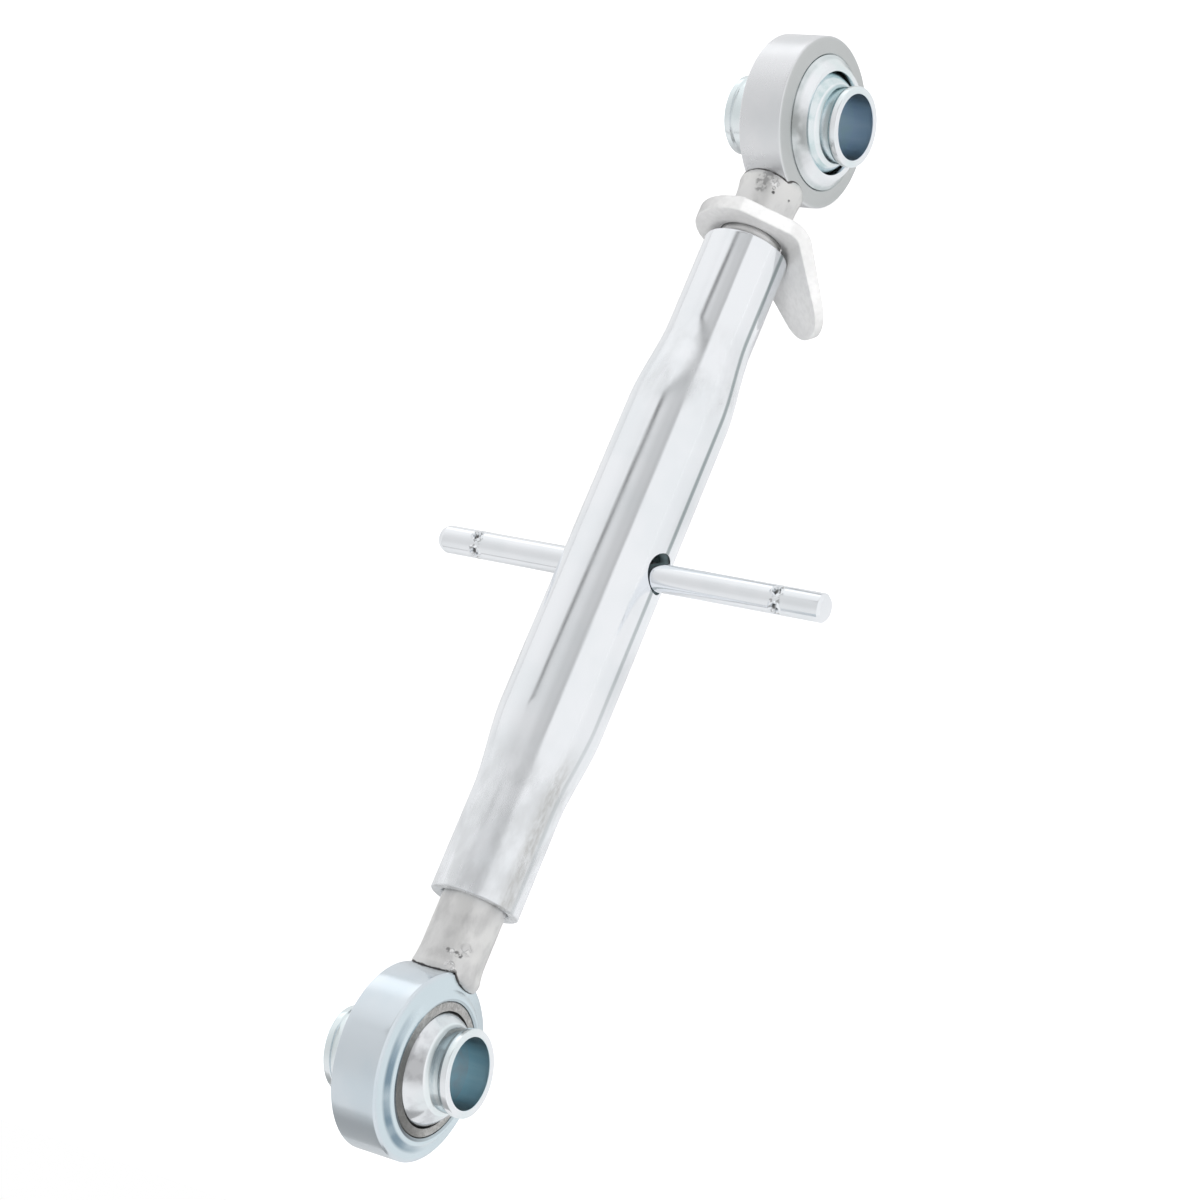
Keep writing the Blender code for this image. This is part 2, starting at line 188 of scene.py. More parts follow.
def closed_object(name, points, quads):
    """A mesh object of points and quads, with its seams closed and its faces turned outwards."""
    mesh = bpy.data.meshes.new(name)
    mesh.from_pydata(points.reshape(-1, 3), [], quads.reshape(-1, 4))
    shape = bmesh.new()
    shape.from_mesh(mesh)
    bmesh.ops.remove_doubles(shape, verts=shape.verts, dist=seam_gap)
    bmesh.ops.recalc_face_normals(shape, faces=shape.faces)
    shape.to_mesh(mesh)
    shape.free()
    made = bpy.data.objects.new(name, mesh)
    bpy.context.scene.collection.objects.link(made)
    return made


def mesh_piece(name, points, quads, body, node):
    """A smooth object that rides a body and stands for a CAD node."""
    piece = closed_object(name, points, quads)
    piece.data.shade_smooth()
    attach(piece, body)
    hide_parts(node)
    print(f"{name}: {len(piece.data.vertices)} points")
    return piece


# %% [markdown]
# ## The swivel balls
#
# Each end holds a ball turned from one bar: a sphere between two short necks, with the pin bore
# through all of it. The necks flare to a slightly wider rim. The frame's mounts give the direction of
# each bore, because the balls have been left swivelled a little.

# %% Balls
ball_radius = 23.5 * mm
ball_half = 25.8 * mm
bore_radius = 12.8 * mm
neck_radius = 15.0 * mm
neck_root = 16.0 * mm
rim_radius = 15.75 * mm
rim_length = 2.6 * mm
rim_rounding = 0.5 * mm
rim_step = 0.8 * mm
rim_fillet = 1.2 * mm
root_step = 0.9 * mm
root_fillet = 0.7 * mm
ball_spacing = 1.5 * mm
ball_steps = 40


def sphere_arc(radius, start, end, steps):
    """Points on a circle: along = radius * sin(angle), radius = radius * cos(angle)."""
    angle = np.linspace(math.asin(start / radius), math.asin(end / radius), steps + 1)
    return np.stack([radius * np.sin(angle), radius * np.cos(angle)], axis=1)


def ball_profile():
    """Half of the closed profile, from the bore's middle out over the rim to the sphere's equator."""
    root = math.sqrt(ball_radius**2 - neck_root**2)
    necking = rounded([
        (0.0, bore_radius),
        (ball_half, bore_radius, rim_rounding),
        (ball_half, rim_radius, rim_rounding),
        (ball_half - rim_length, rim_radius, rim_rounding),
        (ball_half - rim_length - rim_step, neck_radius, rim_fillet),
        (root + root_step, neck_radius, root_fillet),
        (root, neck_root),
    ])
    sphere = sphere_arc(ball_radius, root, 0.0, ball_steps)
    return np.vstack([finer(necking, ball_spacing), sphere[1:]])


def ball(end):
    axis = -np.array(mounts[f"{end}_ball_front_face"]["axis"])
    grid = turned(both_sides(ball_profile()), centre_of[end], axis)
    return mesh_piece(f"{end}_ball_skin", grid, quads_of(grid, True), f"{end}_swivel", f"{end}_ball")


balls = {end: ball(end) for end in centre_of}

# %% [markdown]
# ## The eyes and their race rings
#
# A housing ring holds two race rings that cup the ball. The lower housing's coned faces end in a raised
# lip that is pressed over rings of bare grey steel. The upper rings are rolled over the ball as tall
# bright collars, which is why the upper ball swings through a smaller angle, and the upper housing
# stands off the ball's middle towards the front.

# %% Eyes
eye_radius = {"lower": 34.0 * mm, "upper": 33.55 * mm}
eye_shift = {"lower": 0.0, "upper": 1.6 * mm}
eye_around = 288
eye_spacing = 2.5 * mm
race_spacing = 1.2 * mm
race_steps = 24
race_split = 0.15 * mm
foot_gap = 0.2 * mm
eye_faces = {
    "lower": [
        (11.8 * mm, 24.5 * mm, 0.2 * mm),
        (12.2 * mm, 25.1 * mm, 0.5 * mm),
        (12.1 * mm, 26.4 * mm, 1.0 * mm),
        (10.6 * mm, 28.5 * mm, 1.6 * mm),
        (9.3 * mm, 33.3 * mm, 0.35 * mm),
        (8.7 * mm, 34.0 * mm, 0.35 * mm),
    ],
    "upper": [
        (9.9 * mm, 26.45 * mm, 0.2 * mm),
        (10.3 * mm, 26.9 * mm, 0.25 * mm),
        (10.25 * mm, 27.5 * mm, 0.4 * mm),
        (9.2 * mm, 33.05 * mm, 0.35 * mm),
        (8.75 * mm, 33.55 * mm, 0.35 * mm),
    ],
}
race_faces = {
    "lower": [
        (10.6 * mm, 21.5 * mm),
        (12.0 * mm, 20.95 * mm, 0.15 * mm),
        (11.75 * mm, 24.0 * mm, 0.3 * mm),
        (11.3 * mm, 24.4 * mm, 0.3 * mm),
        (race_split, 24.4 * mm),
    ],
    "upper": [
        (12.75 * mm, 20.2 * mm),
        (14.2 * mm, 20.1 * mm, 0.5 * mm),
        (14.4 * mm, 21.0 * mm, 0.5 * mm),
        (14.2 * mm, 22.2 * mm, 0.7 * mm),
        (11.7 * mm, 24.7 * mm, 2.5 * mm),
        (10.5 * mm, 26.35 * mm, 0.25 * mm),
        (race_split, 26.4 * mm),
    ],
}


def eye_place(end):
    return centre_of[end] - eye_axis[end] * eye_shift[end]


def eye(end):
    face = eye_faces[end]
    half = finer(rounded([(0.0, face[0][1]), *face, (0.0, eye_radius[end])]), eye_spacing)
    grid = turned(both_sides(half), eye_place(end), eye_axis[end], eye_around)
    return mesh_piece(f"{end}_eye_skin", grid, quads_of(grid, True), f"{end}_end", f"{end}_eye")


def race(end, side):
    """A ring round the ball's middle, which its face and outer side stand off by the eye's shift."""
    forward = side == "front"
    shift = eye_shift[end] * (1 if forward else -1)
    outer = rounded([(along + shift, *rest) for along, *rest in race_faces[end]])
    outer[-1, 0] = race_split
    seat = ball_radius + fit_gap
    lip_along, lip_radius = race_faces[end][0]
    foot = min(lip_along + shift, math.sqrt(seat**2 - lip_radius**2)) - foot_gap
    profile = np.vstack([finer(outer, race_spacing), sphere_arc(seat, race_split, foot, race_steps)])
    grid = turned(profile, centre_of[end], -eye_axis[end] if forward else eye_axis[end])
    name = f"{end}_race_{side}"
    return mesh_piece(f"{name}_skin", grid, quads_of(grid, True), f"{end}_end", name)


eyes = {end: eye(end) for end in centre_of}
races = {(end, side): race(end, side) for end in centre_of for side in ("front", "back")}

# %% [markdown]
# ## The screws
#
# A screw is one forging: a threaded rod whose other end is upset a little and welded over the eye. The
# thread is a surface of revolution whose radius also depends on the turn: it falls by the thread's
# depth wherever the helix has a groove. The end is then hollowed by the eye's own shape.

# %% Screws
thread_pitch = 3.0 * mm
thread_depth = 1.7 * mm
screw_radius = 12.2 * mm
thread_fade = 5.0 * mm
crest_share = 0.125
root_share = 0.25
thread_spacing = 0.3 * mm
thread_chamfer = 2.0 * mm
nose_turn = math.radians(78)
nose_drop = 3.6 * mm
weld_gap = 0.1 * mm
sharp_angle = math.radians(40)
# How wide each screw's end grows, how long it takes for it, and how far it reaches over the eye.
flare = {"lower": (13.0 * mm, 7.5 * mm, 4.5 * mm), "upper": (12.9 * mm, 7.5 * mm, 5.0 * mm)}
hand = {"lower": 1, "upper": -1}
thread_start = {"lower": 62.0 * mm, "upper": 57.5 * mm}


def threaded(profile, centre, axis, start, end, turning, around=128):
    """Turned surface cut by a helix: radius - depth * groove(along / pitch - turn / 360 degrees).

    The groove is a trapezium: a flat crest, a flat root, and two flanks that take up the rest of the
    pitch. It fades in over a few millimetres at both ends.
    """
    grid = turned(profile, centre, axis, around)
    along = np.asarray(profile)[:, :1]
    turn = np.arange(around)[None, :] / around
    phase = (along / thread_pitch - turning * turn) % 1.0
    flank_share = 1 - crest_share - root_share
    groove = np.clip((1 - crest_share - 2 * np.abs(phase - 0.5)) / flank_share, 0, 1)
    fade = np.clip((along - start) / thread_fade, 0, 1) * np.clip((end - along) / thread_fade, 0, 1)
    spine = centre + along[:, :, None] * axis
    reach = np.linalg.norm(grid - spine, axis=2, keepdims=True)
    cut = (thread_depth * groove * fade)[:, :, None] * (reach > screw_radius - tolerance)
    return grid - (grid - spine) / np.maximum(reach, tolerance) * cut


def screw_profile(end, inner_end):
    """From the inner end out to the lobes, by distance from the ball's centre."""
    radius = eye_radius[end]
    flare_radius, flare_length, lobe = flare[end]
    share = np.linspace(0, 1, 14)[:, None]
    flaring = np.hstack([
        radius + flare_length * (1 - share),
        screw_radius + (flare_radius - screw_radius) * share**2,
    ])
    angle = np.linspace(0, 1, 16)[1:, None] * nose_turn
    nose = np.hstack([radius - lobe * np.sin(angle), flare_radius - nose_drop * (1 - np.cos(angle))])
    rod = rounded([
        (inner_end, 0.0),
        (inner_end, screw_radius, thread_chamfer),
        (radius + flare_length, screw_radius),
    ])
    run = np.vstack([rod[:-1], flaring, nose, [(nose[-1, 0], 0.0)]])
    return finer(run, thread_spacing)


def eye_space(end, gap):
    """A solid of the eye's outer shape, grown by a gap, as the profile of a cutter."""
    (along, crown), (edge, rim) = (corner[:2] for corner in eye_faces[end][-3:-1])
    half = [(along + gap, 0.0), (along + gap, crown), (edge + gap, rim)]
    half.append((edge - gap, eye_radius[end] + gap))
    return np.array(half + [(-along, radius) for along, radius in half[::-1]])


def cut_from(piece, cutter):
    """Takes one mesh out of another and removes the cutter."""
    cut = piece.modifiers.new("cut", "BOOLEAN")
    cut.operation = "DIFFERENCE"
    cut.solver = "EXACT"
    cut.object = cutter
    bpy.context.view_layer.update()
    graph = bpy.context.evaluated_depsgraph_get()
    mesh = bpy.data.meshes.new_from_object(piece.evaluated_get(graph))
    piece.modifiers.clear()
    piece.data = mesh
    bpy.data.objects.remove(cutter, do_unlink=True)
    mesh.shade_smooth()
    mesh.set_sharp_from_angle(angle=sharp_angle)
    return piece


def screw(end):
    inner_end = width(f"{end}_screw", 0) + eye_radius[end] - flare[end][2]
    axis = along_link if end == "lower" else -along_link
    profile = screw_profile(end, inner_end)
    centre = centre_of[end]
    grid = threaded(profile, centre, axis, thread_start[end], inner_end + thread_fade, hand[end])
    node = f"{end}_screw"
    piece = mesh_piece(f"{node}_skin", grid, quads_of(grid, False), f"{end}_end", node)
    space = turned(eye_space(end, weld_gap), eye_place(end), eye_axis[end], eye_around)
    return cut_from(piece, closed_object("eye_space", space, quads_of(space, False)))


screws = {end: screw(end) for end in centre_of}

# %% [markdown]
# ## The swaged tube
#
# The tube is squeezed down at both ends to the thread's size, so its outline is a soft S between two
# straight stretches. A cross hole goes through its middle. The hole isn't cut but worked out: a
# window is left in the grid of the outer and the inner wall, and rings of points run from the
# window's edge over the hole's rounded lip, through the wall, and out to the inner window.

# %% Tube
tube_middle = middle("centre_tube")
tube_half = width("centre_tube", 0) / 2
tube_radius = width("centre_tube", 2) / 2
tube_end_radius = 16.9 * mm
tube_bore = 15.5 * mm
tube_end_length = 39.0 * mm
swage_length = 36.0 * mm
tube_end_half = tube_half - tube_end_length
tube_body_half = tube_end_half - swage_length
end_bore = screw_radius + fit_gap
end_rounding = 0.6 * mm
end_bevel = 0.8 * mm
bevel_rounding = 0.1 * mm
rim_reach = 1.0 * mm
cross_hole = 7.8 * mm
hole_lip = 0.45 * mm
window_half = 12.5 * mm
window_step = 0.625 * mm
window_columns = 22
columns = 240
outer_rings = 12
inner_rings = 8
lip_steps = 6
wall_steps = 5
# Above 1, this crowds the rings together near the hole.
crowding = 1.3


def swaged(along, end_size, body_size):
    """A radius that goes from the ends' size to the body's by 3 s^2 - 2 s^3 over the swage."""
    share = np.clip((tube_end_half - np.abs(along)) / (tube_end_half - tube_body_half), 0, 1)
    return end_size + (body_size - end_size) * share**2 * (3 - 2 * share)


def hole_through(outer_edge, inner_edge, side):
    """Rings from the outer window's edge, over the lip and through the wall, to the inner window's."""
    across = outer_edge - tube_middle
    turn = np.arctan2(across[:, 2], across[:, 0])
    rings = [outer_edge[None]]

    def on_wall(size, wall, sunk):
        """A ring of this size on a wall of this radius, where y = sqrt(wall^2 - z^2) - sunk."""
        z = size * np.sin(turn)
        y = side * (np.sqrt(wall**2 - z**2) - sunk)
        return tube_middle + np.stack([size * np.cos(turn), y, z], axis=-1)

    def blend_to_window(edge, wall, steps):
        """From the hole to the window in (along, angle) space, so that the rings stay on the wall."""
        offset = edge - tube_middle
        edge_angle = np.arctan2(offset[:, 2], side * offset[:, 1])
        size = cross_hole + hole_lip
        hole_angle = np.arcsin(size * np.sin(turn) / wall)
        share = (np.linspace(0, 1, steps + 1)[1:-1] ** crowding)[:, None]
        along = size * np.cos(turn) * (1 - share) + offset[:, 0] * share
        angle = hole_angle * (1 - share) + edge_angle * share
        rows = np.stack([along, side * wall * np.cos(angle), wall * np.sin(angle)], axis=-1)
        return tube_middle + rows

    rings.append(blend_to_window(outer_edge, tube_radius, outer_rings)[::-1])
    lip = np.linspace(0, np.pi / 2, lip_steps + 1)[:, None]
    size = cross_hole + hole_lip * (1 - np.sin(lip))
    rings.append(on_wall(size, tube_radius, hole_lip * (1 - np.cos(lip))))
    inner = on_wall(np.full((1, 1), cross_hole), tube_bore, 0.0)
    share = np.linspace(0, 1, wall_steps + 1)[1:, None, None]
    rings.append(rings[-1][-1:] * (1 - share) + inner * share)
    rings.append(blend_to_window(inner_edge, tube_bore, inner_rings))
    rings.append(inner_edge[None])
    return np.concatenate(rings)


def tube():
    body_steps = round(window_half / window_step)
    body = np.arange(-body_steps, body_steps + 1) * window_step
    reach = np.concatenate([
        np.linspace(window_half, tube_body_half, 8)[1:],
        np.linspace(tube_body_half, tube_end_half, 46)[1:],
        np.linspace(tube_end_half, tube_half - rim_reach, 7)[1:],
    ])
    along = np.concatenate([-reach[::-1], body, reach])
    outer = np.stack([along, swaged(along, tube_end_radius, tube_radius)], axis=1)
    inner = np.stack([along[::-1], swaged(along[::-1], end_bore, tube_bore)], axis=1)
    rim = rounded([
        (tube_half - rim_reach, tube_end_radius),
        (tube_half, tube_end_radius, end_rounding),
        (tube_half, end_bore + end_bevel, bevel_rounding),
        (tube_half - rim_reach, end_bore),
    ])[1:-1]
    profile = np.vstack([outer, rim, inner, rim[::-1] * (-1, 1)])
    grid = turned(profile, tube_middle, along_link, columns)
    quads = quads_of(grid, True)
    keep = np.ones(quads.shape[:2], bool)
    first = len(reach)
    last = first + len(body) - 1
    inner_first = len(outer) + len(rim) + first
    inner_last = inner_first + len(body) - 1
    points = [grid.reshape(-1, 3)]
    faces = []
    # Column 0 faces the bar's far end, and the one half a turn on faces its near end.
    for side, start in ((1, 0), (-1, columns // 2)):
        column = (start + np.arange(-window_columns, window_columns + 1)) % columns
        keep[first:last, column[:-1]] = False
        keep[inner_first:inner_last, column[:-1]] = False
        rows, inner_rows = np.arange(first, last + 1), np.arange(inner_last, inner_first - 1, -1)
        edges = []
        for row in (rows, inner_rows):
            path = [grid[row[0], column[:-1]], grid[row[:-1], column[-1]]]
            path += [grid[row[-1], column[::-1][:-1]], grid[row[::-1][:-1], column[0]]]
            edges.append(np.concatenate(path))
        bridge = hole_through(*edges, side)
        faces.append(quads_of(bridge, False).reshape(-1, 4) + sum(len(part) for part in points))
        points.append(bridge.reshape(-1, 3))
    faces.insert(0, quads[keep].reshape(-1, 4))
    return mesh_piece("tube_skin", np.concatenate(points), np.concatenate(faces), "tube", "centre_tube")


tube_skin = tube()

# %% [markdown]
# ## The cross bar
#
# The bar is a plain rod. Near each end it was punched twice on two sides, to keep it in its hole. The
# photograph shows mostly the punch's dents, each with a low torn ring of metal pushed up round it. Such a
# crater could be sculpted, but here it is one formula of the distance from its middle, and it is added
# to the rod's radius. Only the rows near the marks are close together.

# %% Cross bar
bar_radius = 5.5 * mm
bar_half = 84.5 * mm
bar_around = 176
bar_spacing = 3.0 * mm
shaft_half = 61.0 * mm
burr_place = 66.0 * mm
burr_rows = 26
burr_spacing = 0.16 * mm
burr_angles = np.radians((69 - 34, 69 + 34, 249 - 34, 249 + 34))
burr_height = 0.7 * mm
burr_ring = 2.0 * mm
burr_width = 0.45 * mm
dent_depth = 1.3 * mm
dent_radius = 1.25 * mm
# The corners of the ends: how far inside the end, how far below the side, and the rounding.
far_corners = [(3.0 * mm, 0.0, 2.0 * mm), (0.6 * mm, 1.3 * mm, 1.4 * mm), (0.0, 3.0 * mm, 1.0 * mm)]
near_corners = [(0.0, 1.1 * mm, 0.25 * mm), (1.1 * mm, 0.0, 0.35 * mm)]


def crater(distance, height):
    """A ring less a dent: height * exp(-((d - ring) / width)^2) - depth * exp(-(d / radius)^4)."""
    raised = height * np.exp(-(((distance - burr_ring) / burr_width) ** 2))
    return raised - dent_depth * np.exp(-((distance / dent_radius) ** 4))


def bar():
    near = burr_place + np.arange(-burr_rows, burr_rows + 1) * burr_spacing
    shaft = np.concatenate([-near[::-1], np.linspace(-shaft_half, shaft_half, 40), near])
    far_side = [(bar_half - inside, bar_radius - below, size) for inside, below, size in far_corners]
    near_side = [(inside - bar_half, bar_radius - below, size) for inside, below, size in near_corners]
    far_end = rounded([(near[-1], bar_radius), *far_side, (bar_half, 0.0)])[1:]
    near_end = rounded([(-bar_half, 0.0), *near_side, (-near[-1], bar_radius)])[:-1]
    rod = np.stack([shaft, np.full(len(shaft), bar_radius)], axis=1)
    profile = finer(np.vstack([near_end, rod, far_end]), bar_spacing)
    centre = middle("tommy_bar")
    grid = turned(profile, centre, along_bar, bar_around)
    along = profile[:, :1]
    spine = centre + along[:, :, None] * along_bar
    outward = grid - spine
    # The angle that the burrs are given by runs from the link's lower end upwards.
    angle = np.arctan2(outward[:, :, 2], -outward[:, :, 0])
    swell = np.zeros(angle.shape)
    for place in (-burr_place, burr_place):
        for burr in burr_angles:
            turn = (angle - burr + np.pi) % (2 * np.pi) - np.pi
            # The metal's edge is torn: the ring's height and its distance waver with the direction.
            way = np.arctan2(bar_radius * turn, along - place)
            torn = 1 + 0.35 * np.sin(3 * way + burr) + 0.2 * np.sin(7 * way + 2 * burr)
            distance = np.hypot(along - place, bar_radius * turn) * (1 + 0.08 * np.sin(5 * way))
            swell += crater(distance, burr_height * torn)
    size = np.linalg.norm(outward, axis=2)
    on_side = size > bar_radius * 0.9
    scale = np.where(on_side, 1 + swell / np.maximum(size, tolerance), 1)
    grid = spine + outward * scale[:, :, None]
    return mesh_piece("bar_skin", grid, quads_of(grid, False), "bar", "tommy_bar")


bar_skin = bar()

# %% [markdown]
# ## The lock nut and its lever
#
# The nut is stamped from plate: a disc with a flat on its rim, whose other side runs out into a
# tongue that is bent down past the tube's end. Seen from the thread's axis its outline has one radius
# for each direction, so the whole plate is a fan of rays. It is laid out flat, and then bent by
# rolling every point past the bend's start round the bend's axis.

# %% Lock nut
nut_around = 320
nut_radius = 23.0 * mm
nut_thickness = 6.0 * mm
nut_tube_gap = 5.0 * mm
nut_face = tube_middle[0] + tube_half + nut_tube_gap
nut_rim = 0.6 * mm
bore_bevel = 0.5 * mm
lever_direction = math.radians(226)
flat_direction = math.radians(128)
flat_distance = nut_radius * 0.883
lever_length = 47.0 * mm
lever_tip = 13.0 * mm
lever_tip_thickness = 3.8 * mm
bend_start = 10.0 * mm
bend_radius = 5.0 * mm
bend_angle = math.radians(45)


def plate_outline(turn):
    """Distance from the thread's axis to the plate's edge, for directions measured from the lever.

    It is the farthest of the disc, the two tangent sides and the round tip, cut by the rim's flat.
    """
    tip_centre = lever_length - lever_tip
    taper = math.asin((nut_radius - lever_tip) / tip_centre)
    side = nut_radius / np.maximum(np.cos(np.abs(turn) - (np.pi / 2 - taper)), 1e-3)
    beyond = np.clip(lever_tip**2 - (tip_centre * np.sin(turn)) ** 2, 0, None)
    tip = tip_centre * np.cos(turn) + np.sqrt(beyond)
    on_tip = np.abs(turn) < math.atan2(
        lever_tip * math.cos(taper), tip_centre + lever_tip * math.sin(taper)
    )
    on_side = ~on_tip & (np.abs(turn) < np.pi / 2 - taper)
    edge = np.where(on_tip, tip, np.where(on_side, side, nut_radius))
    flat_turn = (turn - (flat_direction - lever_direction) + np.pi) % (2 * np.pi) - np.pi
    facing = np.cos(flat_turn)
    unlimited = 1.0
    flat = np.where(facing > 0.5, flat_distance / np.maximum(facing, 0.1), unlimited)
    return np.minimum(edge, flat)


def bent(along, across, up):
    """Rolls the flat tongue: past the start, length turns into angle about an axis below the plate."""
    past = np.maximum(along - bend_start, 0)
    angle = np.minimum(past / bend_radius, bend_angle)
    straight = np.maximum(past - bend_radius * bend_angle, 0)
    out = np.minimum(along, bend_start) + (bend_radius + up) * np.sin(angle)
    height = (bend_radius + up) * np.cos(angle) - bend_radius
    return out + straight * math.cos(bend_angle), across, height - straight * math.sin(bend_angle)


def lock_nut():
    """Rings of rays: out over the lower face, round the rim, back over the upper face and down the bore."""
    turn = np.arange(nut_around) * 2 * np.pi / nut_around - np.pi
    edge = plate_outline(turn)
    soft = np.array((0.25, 0.5, 0.25))
    edge = np.convolve(np.concatenate([edge[-1:], edge, edge[:1]]), soft, "valid")
    ray = np.ones(nut_around)
    bore = screw_radius + fit_gap
    inner, outer = bore + bore_bevel, edge - nut_rim
    run = inner + (outer - inner) * np.linspace(0, 1, 48)[:, None]
    lip = np.linspace(0, np.pi / 2, 6)[1:-1, None]
    lip_reach = outer + nut_rim * np.sin(lip)
    lip_level = nut_rim * (1 - np.cos(lip)) * ray
    wall = np.linspace(0, 1, 4)[:, None]
    side = [edge + 0 * wall, bore + 0 * wall * ray]
    reach = np.concatenate([run, lip_reach, side[0], lip_reach[::-1], run[::-1], side[1]])
    level = np.concatenate([
        0 * run,
        lip_level,
        nut_rim + (nut_thickness - 2 * nut_rim) * wall * ray,
        nut_thickness - lip_level[::-1],
        0 * run + nut_thickness,
        nut_thickness - bore_bevel - (nut_thickness - 2 * bore_bevel) * wall * ray,
    ])
    along, across = reach * np.cos(turn), reach * np.sin(turn)
    share = np.clip((along - bend_start) / (lever_length - bend_start), 0, 1)
    thickness = nut_thickness + (lever_tip_thickness - nut_thickness) * share
    out, across, height = bent(along, across, level * thickness / nut_thickness)
    away = np.array((0.0, math.cos(lever_direction), math.sin(lever_direction)))
    aside = np.cross(along_link, away)
    centre = np.array((nut_face, lower_centre[1], lower_centre[2]))
    grid = centre + out[:, :, None] * away + across[:, :, None] * aside
    grid = grid + height[:, :, None] * along_link
    return mesh_piece("nut_skin", grid, quads_of(grid, True), "nut", "lock_nut")


nut_skin = lock_nut()

# %% [markdown]
# ## Writing shader maths
#
# A small class wraps a socket, so that `1 - mask` or `noise * 0.3` adds the Math nodes by itself.
# Every other node comes from one method, which takes the node's type, its settings and its inputs.

# %% Shader expressions


class Signal:
    """One output of a node, with arithmetic."""

    def __init__(self, tree, socket=None):
        self.tree = tree
        self.socket = socket

    def node(self, kind, settings=(), inputs=(), output=0):
        made = self.tree.nodes.new(kind)
        for key, value in dict(settings).items():
            setattr(made, key, value)
        for key, value in dict(inputs).items():
            if isinstance(value, Signal):
                self.tree.links.new(value.socket, made.inputs[key])
            else:
                made.inputs[key].default_value = value
        return Signal(self.tree, made.outputs[output])

    def maths(self, operation, *values):
        return self.node("ShaderNodeMath", {"operation": operation}, dict(enumerate(values)))

    def __add__(self, other):
        return self.maths("ADD", self, other)

    __radd__ = __add__

    def __sub__(self, other):
        return self.maths("SUBTRACT", self, other)

    def __rsub__(self, other):
        return self.maths("SUBTRACT", other, self)

    def __mul__(self, other):
        return self.maths("MULTIPLY", self, other)

    __rmul__ = __mul__

    def __abs__(self):
        return self.maths("ABSOLUTE", self)

    def vector(self, operation, *values, output=0):
        """Vector maths, where a value is a signal or three numbers, such as an array's."""
        plain = [value if isinstance(value, Signal) else tuple(map(float, value)) for value in values]
        settings = {"operation": operation}
        return self.node("ShaderNodeVectorMath", settings, dict(enumerate(plain)), output)

    def within(self, low, high):
        """0 at low, 1 at high, and clamped outside."""
        inputs = {0: self, 1: low, 2: high, 3: 0.0, 4: 1.0}
        return self.node("ShaderNodeMapRange", {"interpolation_type": "SMOOTHSTEP"}, inputs)

    def mix(self, first, second):
        """The first colour where this is 0, and the second where it is 1."""
        inputs = {0: self, 6: first, 7: second}
        return self.node("ShaderNodeMix", {"data_type": "RGBA"}, inputs, output=2)


print("signals know:", ", ".join(name for name in vars(Signal) if not name.startswith("_")))

# %% [markdown]
# ## Zinc plating
#
# Bright zinc is a mirror with a faint blue cast and a fine skin of its own: slow cloudy changes of
# tint where the passivation is thicker, faint lines from the drawing or turning of the steel under it,
# and a grain that blurs reflections a little. Each is a noise at its own scale, so the plating could be
# one material, but each piece was worked in its own way and gets its own marks on top.

# %% Materials
picture_left = (-0.74, 0.0, 0.67)
picture_up = (0.89, 0.0, 0.45)
forwards = (0.0, -1.0, 0.0)
upwards = (0.0, 0.0, 1.0)


def rgb(red, green, blue):
    return (red, green, blue, 1.0)


def new_material(name):
    material = bpy.data.materials.new(name)
    material.use_nodes = True
    tree = material.node_tree
    return material, Signal(tree), tree.nodes["Principled BSDF"]


def counted_from(signal, centre):
    """Object coordinates counted from a point."""
    place = signal.node("ShaderNodeTexCoord", output="Object")
    return place.vector("SUBTRACT", place, centre)


def noise(vector, scale, detail=3.0, stretch=(1.0, 1.0, 1.0)):
    stretched = vector.vector("MULTIPLY", vector, stretch)
    inputs = {"Vector": stretched, "Scale": scale, "Detail": detail}
    return vector.node("ShaderNodeTexNoise", inputs=inputs)


def along_axis(place, axis):
    """How far along an axis a point lies."""
    return place.vector("DOT_PRODUCT", place, axis, output=1)


def from_axis(place, axis):
    """How far from an axis a point lies: the length of its part square to the axis."""
    across = place.vector("CROSS_PRODUCT", place, axis)
    return across.vector("LENGTH", across, output=1)


def spot(place, centre, size, soft=0.5):
    """1 inside a ball of this size round a point, and 0 outside."""
    distance = place.vector("DISTANCE", place, centre, output=1)
    return 1 - distance.within(size * (1 - soft), size)


print("left of the picture", picture_left, "and up", picture_up)

# %% [markdown]
# ## A finish in the making
#
# A finish is built up in layers, as on the real piece: first the plain plating, then each mark tints it,
# roughens it or stands up from it. Only when every mark is on are the three results linked to the shader.

# %% Finish


class Finish:
    """A material in the making: its colour, roughness and height start plain, and marks are added."""

    def __init__(self, name, centre, colour, rough):
        self.material, self.signal, self.shader = new_material(name)
        self.place = counted_from(self.signal, centre)
        self.colour = self.signal.node("ShaderNodeRGB")
        self.colour.socket.default_value = rgb(*colour)
        self.rough = self.signal.maths("ADD", rough, 0.0)
        self.height = self.signal.maths("ADD", 0.0, 0.0)

    def tint(self, mask, colour):
        self.colour = mask.mix(self.colour, rgb(*colour))
        return self

    def roughen(self, amount):
        self.rough = self.rough + amount
        return self

    def raise_by(self, height):
        self.height = self.height + height
        return self

    def made(self, depth, metal=1.0):
        """Links the three and returns the material. Depth is the height's scale in metres."""
        links = self.signal.tree.links
        inputs = {"Strength": 1.0, "Distance": depth, "Height": self.height}
        surface = self.signal.node("ShaderNodeBump", inputs=inputs)
        links.new(self.colour.socket, self.shader.inputs["Base Color"])
        links.new(self.rough.socket, self.shader.inputs["Roughness"])
        links.new(surface.socket, self.shader.inputs["Normal"])
        self.shader.inputs["Metallic"].default_value = metal
        return self.material


def dress(piece, material):
    piece.data.materials.clear()
    piece.data.materials.append(material)
    print(f"{piece.name}: {material.name}, {len(material.node_tree.nodes)} nodes")


bright_zinc = (0.90, 0.92, 0.95)
cloudy_zinc = (0.86, 0.89, 0.92)
even = (1.0, 1.0, 1.0)
